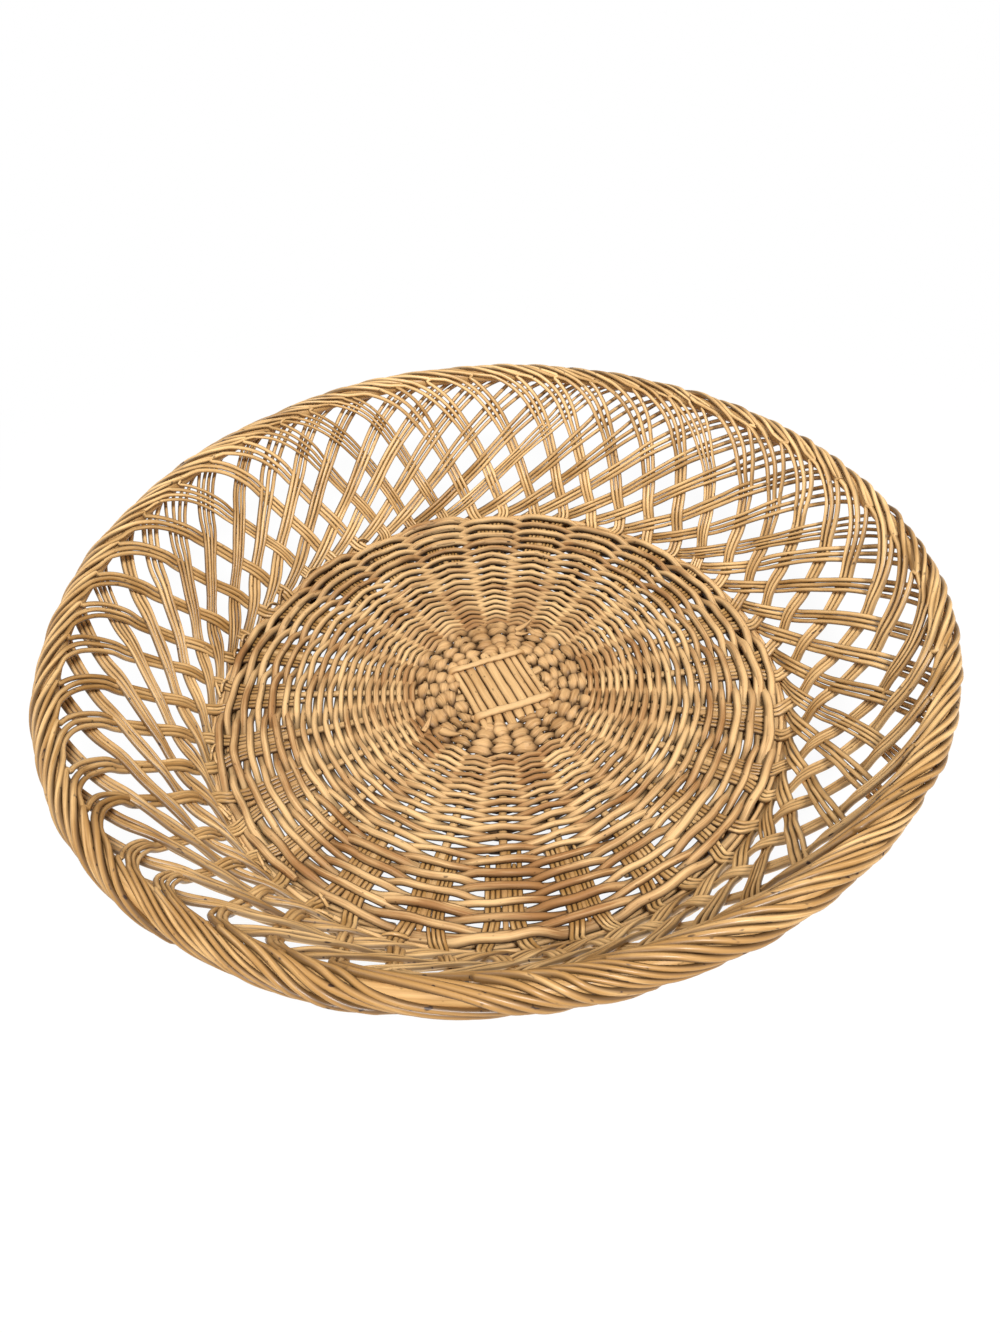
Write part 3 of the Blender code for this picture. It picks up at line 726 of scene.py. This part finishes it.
# Wall canes
# Bundles of three or four round canes. Each bundle starts beside a base spoke, hooks up at the
# base edge, climbs inside the wall, rolls over the rim hoop, comes down outside and ends in the foot.
EDGE_RADIUS = 0.1655
CANE_HALF = 0.00133
CANE_SPACING = 0.00262
CANE_SIZES = (0.95, 1.06)
FOUR_CANES_CHANCE = 0.25
FOUR_CANES_SIZE = 3.2 / 4.2
TAIL_START_RADIUS = 0.112
TAIL_START_SPREAD = 0.014
TAIL_BEND_RADIUS = 0.148
TAIL_BEND_POWER = 1.5
TURN_UP_RADIUS = 0.1622
RISING_LEAN = math.radians(11.0)
RISING_CURL = math.radians(4.6)
RISING_CURL_DEPTH = 0.0108
FALLING_LEAN = math.radians(27.0)
FALLING_CURL = math.radians(2.4)
FALLING_CURL_DEPTH = 0.0050
FOOT_SWEEP = math.radians(7.8)
FOOT_SWEEP_DEPTH = 0.0170
ROLL_PITCHES = 2
ROLL_RADIUS = 0.0055
ROLL_SWAY_SHARE = 0.12
CROSSING_SIDES = (1, 1, -1, -1, 1, -1, 1)
CROSSING_OFFSET = 0.00136
TOP_CROSSING_OFFSET = 0.0026
CROSSING_SHARPNESS = 1.6
FOOT_CENTRE = (0.1603, 0.0059)
FOOT_WRAP = (0.0070, 0.0040)
FOOT_WRAP_START = 0.5
FOOT_TURN = math.radians(17.0)
FOOT_TURN_START = math.radians(4.5)
ROUTE_STEP = 0.0005
TURN_AS_LENGTH = 0.2
CANE_STEP = 0.0023

low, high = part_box("rim_hoop")
HOOP_ROD_HALF = 0.0041
HOOP_RADIUS = high.x - 0.0049
HOOP_HEIGHT = (low.z + high.z) / 2
HOOP_CENTRE = np.array([HOOP_RADIUS, HOOP_HEIGHT])
WALL_LENGTH = math.hypot(HOOP_RADIUS - EDGE_RADIUS, HOOP_HEIGHT - BASE_HEIGHT)
WALL_UP = np.array([HOOP_RADIUS - EDGE_RADIUS, HOOP_HEIGHT - BASE_HEIGHT]) / WALL_LENGTH
WALL_IN = np.array([-WALL_UP[1], WALL_UP[0]])

wall_material = cane_material(
    "wall cane",
    pale=(0.93, 0.60, 0.262), deep=(0.43, 0.222, 0.060), painted_shade=(0.030, 0.011, 0.004),
    streaks=1.2, blotches=1.3, darkening=1.0, gloss=0.26,
)


def rising_turn(depth):
    """How far the rising leg has turned at a depth below the hoop: an even lean and a curl at the rim."""
    return RISING_LEAN * depth / WALL_LENGTH + RISING_CURL * (1 - np.exp(-depth / RISING_CURL_DEPTH))


def falling_turn(depth):
    """The same for the falling leg, with a sweep that grows towards the foot."""
    curl = FALLING_CURL * (1 - np.exp(-depth / FALLING_CURL_DEPTH))
    sweep = FOOT_SWEEP * np.exp((depth - WALL_LENGTH) / FOOT_SWEEP_DEPTH)
    return FALLING_LEAN * depth / WALL_LENGTH + curl + sweep


def crossing_depths():
    """Where rising and falling legs meet: their two turns together make a whole number of pitches."""
    depth = np.linspace(0, WALL_LENGTH, 2000)
    numbers = np.arange(1, 1 + len(CROSSING_SIDES))
    return np.interp(numbers * PITCH, rising_turn(depth) + falling_turn(depth), depth)


CROSSINGS = crossing_depths()


def weave_offset(depth):
    """The rising leg's distance inwards from the wall's middle: it holds its side at each crossing
    and eases to the next side half way between two, by a tanh of the distance from that middle."""
    offset = np.full_like(depth, CROSSING_SIDES[1] * TOP_CROSSING_OFFSET)
    sizes = np.array([0.0, TOP_CROSSING_OFFSET] + [CROSSING_OFFSET] * (len(CROSSINGS) - 2))
    for index in range(1, len(CROSSINGS) - 1):
        near, far = CROSSINGS[index], CROSSINGS[index + 1]
        way = 2 * (depth - (near + far) / 2) / (far - near)
        ease = (1 + np.tanh(CROSSING_SHARPNESS * way) / math.tanh(CROSSING_SHARPNESS)) / 2
        begin, end = CROSSING_SIDES[index] * sizes[index], CROSSING_SIDES[index + 1] * sizes[index + 1]
        offset = np.where(depth > near, begin + (end - begin) * np.clip(ease, 0, 1), offset)
    return offset


def tail_route(side):
    """The tail beside the spoke, which bends away to the bundle's own place at the base edge."""
    radius = np.arange(TAIL_START_RADIUS, TURN_UP_RADIUS, ROUTE_STEP)
    beside = SPOKE_END_HALF_WIDTH + 1.5 * CANE_SPACING
    edge = EDGE_RADIUS * math.sin(PITCH / 2)
    bent = way_gone(radius, TAIL_BEND_RADIUS, EDGE_RADIUS) ** TAIL_BEND_POWER
    turn = side * np.arcsin((beside + (edge - beside) * bent) / radius)
    return np.column_stack([radius, np.full_like(radius, BASE_HEIGHT), turn])


def roll_route(touch, rim_turn):
    """A circle round the hoop from one touching angle to the other, with a slight sway in its turn."""
    angle = np.linspace(touch, math.pi - touch, 40)[1:-1]
    around = ROLL_RADIUS * (np.cos(angle)[:, None] * WALL_IN + np.sin(angle)[:, None] * WALL_UP)
    share = angle / math.pi
    share = share + ROLL_SWAY_SHARE * np.sin(2 * math.pi * share) / (2 * math.pi)
    return np.column_stack([HOOP_CENTRE + around, rim_turn + ROLL_PITCHES * PITCH * share])


def foot_route(turn):
    """Half an ellipse round the foot border, turning on as evenly as it goes round."""
    angle = np.linspace(FOOT_WRAP_START, -math.pi, 36)
    turn = turn + FOOT_TURN_START + FOOT_TURN * (angle[0] - angle) / math.pi
    return np.column_stack([FOOT_CENTRE[0] + FOOT_WRAP[0] * np.cos(angle),
                            FOOT_CENTRE[1] + FOOT_WRAP[1] * np.sin(angle), turn])


def bundle_route(side):
    """Distance from the axis, height and turn along a bundle whose spoke lies at angle zero: the base
    tail, the rising leg, the roll over the hoop, the falling leg and the wrap round the foot."""
    apart = math.hypot(TOP_CROSSING_OFFSET, CROSSINGS[1])
    touch = math.acos(ROLL_RADIUS / apart) - math.atan2(CROSSINGS[1], TOP_CROSSING_OFFSET)
    touch_depth, touch_offset = -ROLL_RADIUS * math.sin(touch), ROLL_RADIUS * math.cos(touch)
    depth = np.arange(WALL_LENGTH - 0.001, touch_depth, -ROUTE_STEP)
    upper = np.interp(depth, [touch_depth, CROSSINGS[1]], [touch_offset, TOP_CROSSING_OFFSET])
    inwards = np.where(depth > CROSSINGS[1], weave_offset(depth), upper)[:, None] * WALL_IN
    middle = HOOP_CENTRE - depth[:, None] * WALL_UP
    rim_turn = side * PITCH / 2 + rising_turn(WALL_LENGTH)
    falling = rim_turn + ROLL_PITCHES * PITCH + falling_turn(depth)
    route = np.concatenate([
        tail_route(side),
        np.column_stack([middle + inwards, rim_turn - rising_turn(depth)]),
        roll_route(touch, rim_turn),
        np.column_stack([middle - inwards, falling])[::-1],
        foot_route(falling[0]),
    ])
    route[:, 2] *= TURN_AS_LENGTH
    route = rounded(even_steps(route, ROUTE_STEP), 3)
    route[:, 2] /= TURN_AS_LENGTH
    return route


STRAY_END_RADII = (0.1610, 0.1660)
STRAY_END_LENGTHS = (0.007, 0.013)
STRAY_END_OUTERMOST = 0.1675


def stray_end(rng, turn):
    """A cut cane end left at the base edge: it runs off aslant from there and bows up by a sine."""
    share = np.linspace(0, 1, 9)
    heading = turn + math.pi / 2 * rng.choice([-1, 1]) + rng.uniform(-0.6, 0.6)
    radius, length = rng.uniform(*STRAY_END_RADII), rng.uniform(*STRAY_END_LENGTHS)
    start = radius * np.array([math.cos(turn), math.sin(turn)])
    flat = start + (share * length)[:, None] * np.array([math.cos(heading), math.sin(heading)])
    flat *= np.minimum(STRAY_END_OUTERMOST / np.hypot(flat[:, 0], flat[:, 1]), 1.0)[:, None]
    height = BASE_HEIGHT + rng.uniform(0.001, 0.003) + 0.004 * np.sin(math.pi * 0.8 * share)
    points = np.column_stack([flat, height])
    half = rng.uniform(0.0011, 0.0014) * (1 - 0.3 * share)
    # Its flanks are painted darker as shade.
    return lay_cane(points, straight_up(points), half, half, rng.uniform(-0.2, 0.3), length, flank_shade())


# How a bundle lies: settled beyond its first stretch, spread near the rim, most at one side of the
# far wall, slack at the front left, and parted round the bare patch of the hoop
SETTLED_LENGTH = 0.08
ROLL_FADE = 0.006
RIM_ZONE = 0.022
SPREAD_ZONE = 0.026
SPLAYS = (0.0, 0.85)
WIDEST_SPLAY = 0.6
WIDEST_SPLAY_TURN = math.radians(38.0)
SLACK_TURN = math.radians(232.0)
SLACK_WIDTH = math.radians(42.0)
BUNCHED_ABOVE = 0.006
STRAY_SLACK = 0.75
BARE_PATCH_TURN = math.radians(-98.0)
BARE_PATCH_WIDTH = 0.13
BARE_PATCH_SHIFT = 0.095
ROLL_SWELLS = (0.0004, 0.0012)
ROLL_ROUNDNESS = 0.0006
BUNCHED_RISE = 0.0009
BUNCHED_NARROWER = 0.2
THICKER_SHARE = 0.1
CANE_WANDER = 0.00013
SLACK_WANDER = 0.00040
BUNDLE_TONES = (-0.20, 0.20)
CANE_TONES = (-0.18, 0.18)
TAIL_TONE = 0.42
FRONT_ROLL_TONE = 0.76
ROLL_TONE = -0.10
LEFT_TONE = 0.15

# Painted shade on the flanks at five places, counted in route steps from the upturn and from the rim's
# top
UPTURN_PLACES = np.array([-8, 12])
RIM_PLACES = np.array([-60, -20, 0])
SHADE_AT_PLACES = (1.1, 0.72, 0.72, 0.8, 0.9)


def angle_from(turn, middle):
    """The angle from a middle to a turn, the short way round."""
    return (turn - middle + math.pi) % (2 * math.pi) - math.pi


def shade_along(radius, height, length):
    """Painted shade on a bundle's flanks from its tail over the wall to the rim's top, by linear
    interpolation between the five places, and which of its points still lie in the base."""
    top = np.argmax(height)
    upturn = np.searchsorted(radius[:top], TURN_UP_RADIUS)
    places = length[np.concatenate([upturn + UPTURN_PLACES, top + RIM_PLACES])]
    return np.interp(length, places, SHADE_AT_PLACES), length < places[0]


def wall_zones(from_roll, height, turn, settled):
    """How far a bundle rolls over the hoop, nears the rim, hangs slack and lies bunched, each a share
    from 0 to 1: the first fades evenly off the roll, the next two as bell curves."""
    rolled = np.clip(1.4 - from_roll / ROLL_FADE, 0, 1)
    near_rim = np.exp(-(from_roll / RIM_ZONE) ** 2)
    slack = np.exp(-(angle_from(turn, SLACK_TURN) / SLACK_WIDTH) ** 2) * settled * (1 - near_rim)
    bunched = slack * way_gone(height, BASE_HEIGHT, BASE_HEIGHT + BUNCHED_ABOVE)
    return rolled, near_rim, slack, bunched


def fan_out(rng, length, from_roll, turn, settled):
    """How widely a bundle's canes lie apart, 1 where they touch: wider by a bell curve near the rim,
    most so at the far side, and here and there on the wall."""
    near = np.exp(-(np.maximum(from_roll - ROLL_FADE, 0) / SPREAD_ZONE) ** 2)
    splay = rng.uniform(*SPLAYS) + WIDEST_SPLAY * np.clip(np.cos(turn - WIDEST_SPLAY_TURN), 0, 1)
    far = np.clip(1.5 * (0.5 + 0.5 * np.sin(turn)) - 0.15, 0, 1)
    loose = np.clip(slow_noise(rng, length, wave=0.11, size=0.16) - 0.05, 0, 0.4)
    return 1 + near * splay * far + settled * loose


def lay_bundle(number, route, turned, seed):
    """The canes of one bundle: each keeps the bundle's section path and is turned about the axis by
    its sideways place times the path's slant, with a slow wander of its own. The canes spread where
    they near the hoop, bulge where they roll over it, and lie bunched and slack at the front left."""
    rng = np.random.default_rng(seed)
    count, size = (4, FOUR_CANES_SIZE) if rng.uniform() < FOUR_CANES_CHANCE else (3, 1.0)
    radius, height, turn = route.T
    step = np.hypot(np.gradient(radius), np.gradient(height))
    slant = np.sqrt(1 + (radius * np.gradient(turn) / np.maximum(step, 1e-9)) ** 2)
    length = np.concatenate([[0.0], np.cumsum(np.hypot(step, radius * np.gradient(turn)))[:-1]])
    settled = way_gone(length, 0, SETTLED_LENGTH)
    wander = rng.normal(0, 0.005) + slow_noise(rng, length, wave=0.16, size=0.006)
    turn = turn + turned + wander * settled
    darkening, in_base = shade_along(radius, height, length)
    from_roll = np.hypot(radius - HOOP_RADIUS, height - HOOP_HEIGHT) - ROLL_RADIUS
    rolled, near_rim, slack, bunched = wall_zones(from_roll, height, turn, settled)
    front = np.clip(-np.sin(turn), 0, 1)
    left = np.clip(-np.cos(turn), 0, 1)
    fan = fan_out(rng, length, from_roll, turn, settled) * (1 - BUNCHED_NARROWER * bunched)
    apart = angle_from(turn, BARE_PATCH_TURN) / BARE_PATCH_WIDTH
    turn = turn + near_rim * (rng.normal(0, 0.006) + BARE_PATCH_SHIFT * apart * np.exp(-apart ** 2))
    tangent = np.stack([np.gradient(radius), np.gradient(height)], axis=1)
    tangent /= np.linalg.norm(tangent, axis=1)[:, None]
    swell = rng.uniform(*ROLL_SWELLS)
    shade = rng.uniform(*BUNDLE_TONES)
    canes = []
    for cane in range(count):
        place = cane - (count - 1) / 2
        begin = int(rng.uniform(0, TAIL_START_SPREAD) / ROUTE_STEP)
        swerve = slow_noise(rng, length, wave=0.06, size=1.0) * (CANE_WANDER + SLACK_WANDER * slack)
        sideways = place * CANE_SPACING * size * fan + swerve * settled
        proud = slow_noise(rng, length, wave=0.05, size=0.00010) * (1 + 3 * slack)
        proud += rolled * (swell - ROLL_ROUNDNESS * abs(place))
        proud += BUNCHED_RISE * bunched * (1 - abs(place))
        half = CANE_HALF * size * rng.uniform(*CANE_SIZES)
        half = half * (1 + slow_noise(rng, length, wave=0.08, size=0.03))
        half = half * (1 + THICKER_SHARE * (in_base + rolled * front + slack))
        here = turn + sideways * slant / radius
        normals = around_axis(-tangent[:, 1], here, tangent[:, 0])
        points = around_axis(radius, here, height) + normals * proud[:, None]
        tone = shade + rng.uniform(*CANE_TONES) + slow_noise(rng, length, wave=0.10, size=0.10)
        tone += TAIL_TONE * in_base + rolled * (FRONT_ROLL_TONE * front + ROLL_TONE) + LEFT_TONE * left
        keep = np.searchsorted(length, np.arange(length[begin], length[-1], CANE_STEP))
        # Their flanks are painted darker as shade, by the amount along the bundle.
        canes.append(lay_cane(points[keep], normals[keep], half[keep], half[keep], tone[keep],
                              rng.uniform(0, 9), darkening[keep][:, None] * flank_shade()))
    if slack.max() > STRAY_SLACK:
        canes.append(stray_end(rng, turned + rng.uniform(-0.03, 0.03)))
    bundle_up(f"wall_canes_{number:02d}", canes, wall_material, f"lattice_bundle_{number:02d}")


for spoke in range(SPOKES):
    for place, side in enumerate((-1, 1)):
        number = 2 * spoke + place + 1
        lay_bundle(number, bundle_route(side), CROSS_TURN + PITCH + 2 * PITCH * spoke, 100 + number)


# Rim hoop
# One round rod bent into a ring, with its ends laid together. The wall canes roll over it and hide
# most of it; it shows in short bare patches between them.
HOOP_STEPS = 240
HOOP_SIDES = 16

hoop_material = cane_material(
    "hoop rod",
    pale=(0.62, 0.37, 0.145), deep=(0.40, 0.22, 0.075), painted_shade=(0.07, 0.03, 0.01),
    streaks=1.2, blotches=1.3, darkening=0.2, gloss=0.15,
)


def lay_hoop():
    """A round section carried round the axis, its size wandering slowly."""
    turn = 2 * math.pi * np.arange(HOOP_STEPS + 1) / HOOP_STEPS
    points = around_axis(HOOP_RADIUS, turn, HOOP_HEIGHT)
    half = HOOP_ROD_HALF * (1 + 0.02 * np.sin(5 * turn) + 0.015 * np.sin(11 * turn))
    tone = 0.1 * np.sin(3 * turn)
    cane = lay_cane(points, straight_up(points), half, half, tone, 51, sides=HOOP_SIDES)
    bundle_up("hoop_rod", [cane], hoop_material, "rim_hoop")


lay_hoop()


# Foot border
# A low border of canes twisted together under the base edge, with the ends of the wall canes
# wrapped half round it and three more canes lying round the wall's foot. The basket stands on it.
FOOT_CANES = 6
FOOT_TWISTS = 9
FOOT_CORE = (0.0038, 0.0014)
FOOT_SHELF = ((0.1659, 0.0128), (0.1662, 0.0100), (0.1636, 0.0141))
FOOT_SHELF_RIPPLE = 0.0004
FOOT_SHELF_TONE = -0.1
FOOT_STEPS = 288

foot_material = cane_material(
    "foot border",
    pale=(0.84, 0.54, 0.25), deep=(0.50, 0.28, 0.11), painted_shade=(0.05, 0.02, 0.007),
    streaks=0.9, blotches=1.0, darkening=0.5, gloss=0.0,
)


def foot_cane(points, tone, start):
    """A round cane of the wall's own size along points, its flanks painted darker as shade."""
    return lay_cane(points, straight_up(points), CANE_HALF, CANE_HALF, tone, start, flank_shade())


def lay_foot():
    """Canes twisted round each other, each one's place a turning point on a flat ellipse, and three
    more that run round the foot of the wall above them with a ripple for each spoke."""
    turn = 2 * math.pi * np.arange(FOOT_STEPS + 1) / FOOT_STEPS
    canes = []
    for cane in range(FOOT_CANES):
        angle = FOOT_TWISTS * turn + 2 * math.pi * cane / FOOT_CANES
        radius = FOOT_CENTRE[0] + FOOT_CORE[0] * np.cos(angle)
        height = FOOT_CENTRE[1] + FOOT_CORE[1] * np.sin(angle)
        canes.append(foot_cane(around_axis(radius, turn, height), 0.2 * (cane % 3 - 1), cane))
    for shelf, (radius, height) in enumerate(FOOT_SHELF):
        height = height + FOOT_SHELF_RIPPLE * np.sin(SPOKES * turn + shelf)
        canes.append(foot_cane(around_axis(radius, turn, height), FOOT_SHELF_TONE, 7 + shelf))
    bundle_up("foot_canes", canes, foot_material, "foot_ring")


lay_foot()


# Floor, light and camera
# A pale studio floor that runs out of sight, soft light from above and the front, and the camera
# at the photograph's angle, close above the near side of the rim.
FLOOR_SIZE = 12.0
FLOOR_DROP = 0.0003
FLOOR_GLOW_SHARES = (0.93, 1.0)
FLOOR_GLOW_FADE = (0.30, 0.60)


def lay_floor():
    """A plane whose colour, to the camera and in reflections, is white, with a small share of its own
    shading near the basket, so that the shadow stays."""
    bpy.ops.mesh.primitive_plane_add(size=FLOOR_SIZE, location=(0.0, 0.0, -FLOOR_DROP))
    floor = bpy.context.object
    floor.name = "studio_floor"
    material = bpy.data.materials.new("pale floor")
    material.use_nodes = True
    tree = material.node_tree
    shader = tree.nodes["Principled BSDF"]
    shader.inputs["Base Color"].default_value = (0.86, 0.86, 0.86, 1.0)
    shader.inputs["Roughness"].default_value = 0.9
    shader.inputs["Specular IOR Level"].default_value = 0.0
    glow = add_node(tree, "ShaderNodeEmission")
    glow.inputs["Strength"].default_value = 1.0
    path = add_node(tree, "ShaderNodeLightPath")
    seen = wire_math(tree, "MAXIMUM", path.outputs["Is Camera Ray"], path.outputs["Is Glossy Ray"])
    distance = add_node(tree, "ShaderNodeVectorMath", operation="LENGTH")
    tree.links.new(add_node(tree, "ShaderNodeTexCoord").outputs["Object"], distance.inputs[0])
    share = map_evenly(tree, distance.outputs["Value"], *FLOOR_GLOW_FADE, *FLOOR_GLOW_SHARES)
    mix = add_node(tree, "ShaderNodeMixShader")
    tree.links.new(wire_math(tree, "MULTIPLY", seen, share), mix.inputs[0])
    tree.links.new(shader.outputs[0], mix.inputs[1])
    tree.links.new(glow.outputs[0], mix.inputs[2])
    tree.links.new(mix.outputs[0], tree.nodes["Material Output"].inputs["Surface"])
    floor.data.materials.append(material)


lay_floor()

LIGHT_AIM = Vector((0.0, 0.0, 0.05))


def place_light(name, place, size, power):
    """A round area light at a place, turned to the basket."""
    lamp = bpy.data.lights.new(name, "AREA")
    lamp.shape = "DISK"
    lamp.size = size
    lamp.energy = power
    light = bpy.data.objects.new(name, lamp)
    light.location = place
    light.rotation_euler = (LIGHT_AIM - Vector(place)).to_track_quat("-Z", "Y").to_euler()
    bpy.context.scene.collection.objects.link(light)


place_light("key_light", (0.25, -0.75, 1.30), size=0.30, power=24.0)
place_light("fill_light", (-0.9, 0.3, 1.2), size=0.9, power=6.0)

WORLD_LIGHT = 0.55
WORLD_SEEN = 1.0

world = bpy.data.worlds.new("studio")
bpy.context.scene.world = world
world.use_nodes = True
tree = world.node_tree
background = tree.nodes["Background"]
background.inputs["Color"].default_value = (1.0, 1.0, 1.0, 1.0)
seen = add_node(tree, "ShaderNodeLightPath").outputs["Is Camera Ray"]
strength = map_evenly(tree, seen, 0.0, 1.0, WORLD_LIGHT, WORLD_SEEN)
tree.links.new(strength, background.inputs["Strength"])

# The camera's elevation, roll and distance come from the ellipses of the base edge and the rim
CAMERA_ELEVATION = 0.820144535
CAMERA_ROLL = -0.0796299
CAMERA_DISTANCE = 0.49275
CAMERA_AIM = Vector((0.003865, 0.011291, BASE_HEIGHT + 0.002))
CAMERA_LENS_MM = 22.17

forward = Vector((0.0, math.cos(CAMERA_ELEVATION), -math.sin(CAMERA_ELEVATION)))
level = Vector((1.0, 0.0, 0.0))
upright = Vector((0.0, math.sin(CAMERA_ELEVATION), math.cos(CAMERA_ELEVATION)))
right = level * math.cos(CAMERA_ROLL) + upright * math.sin(CAMERA_ROLL)
upward = upright * math.cos(CAMERA_ROLL) - level * math.sin(CAMERA_ROLL)
lens = bpy.data.cameras.new("camera")
lens.lens = CAMERA_LENS_MM
lens.sensor_width = 36.0
lens.sensor_fit = "AUTO"
lens.clip_start = 0.01
camera = bpy.data.objects.new("camera", lens)
camera.matrix_world = Matrix.Translation(CAMERA_AIM - forward * CAMERA_DISTANCE) @ Matrix(
    (right, upward, -forward)
).transposed().to_4x4()
bpy.context.scene.collection.objects.link(camera)
bpy.context.scene.camera = camera
bpy.context.scene.view_settings.view_transform = "Standard"
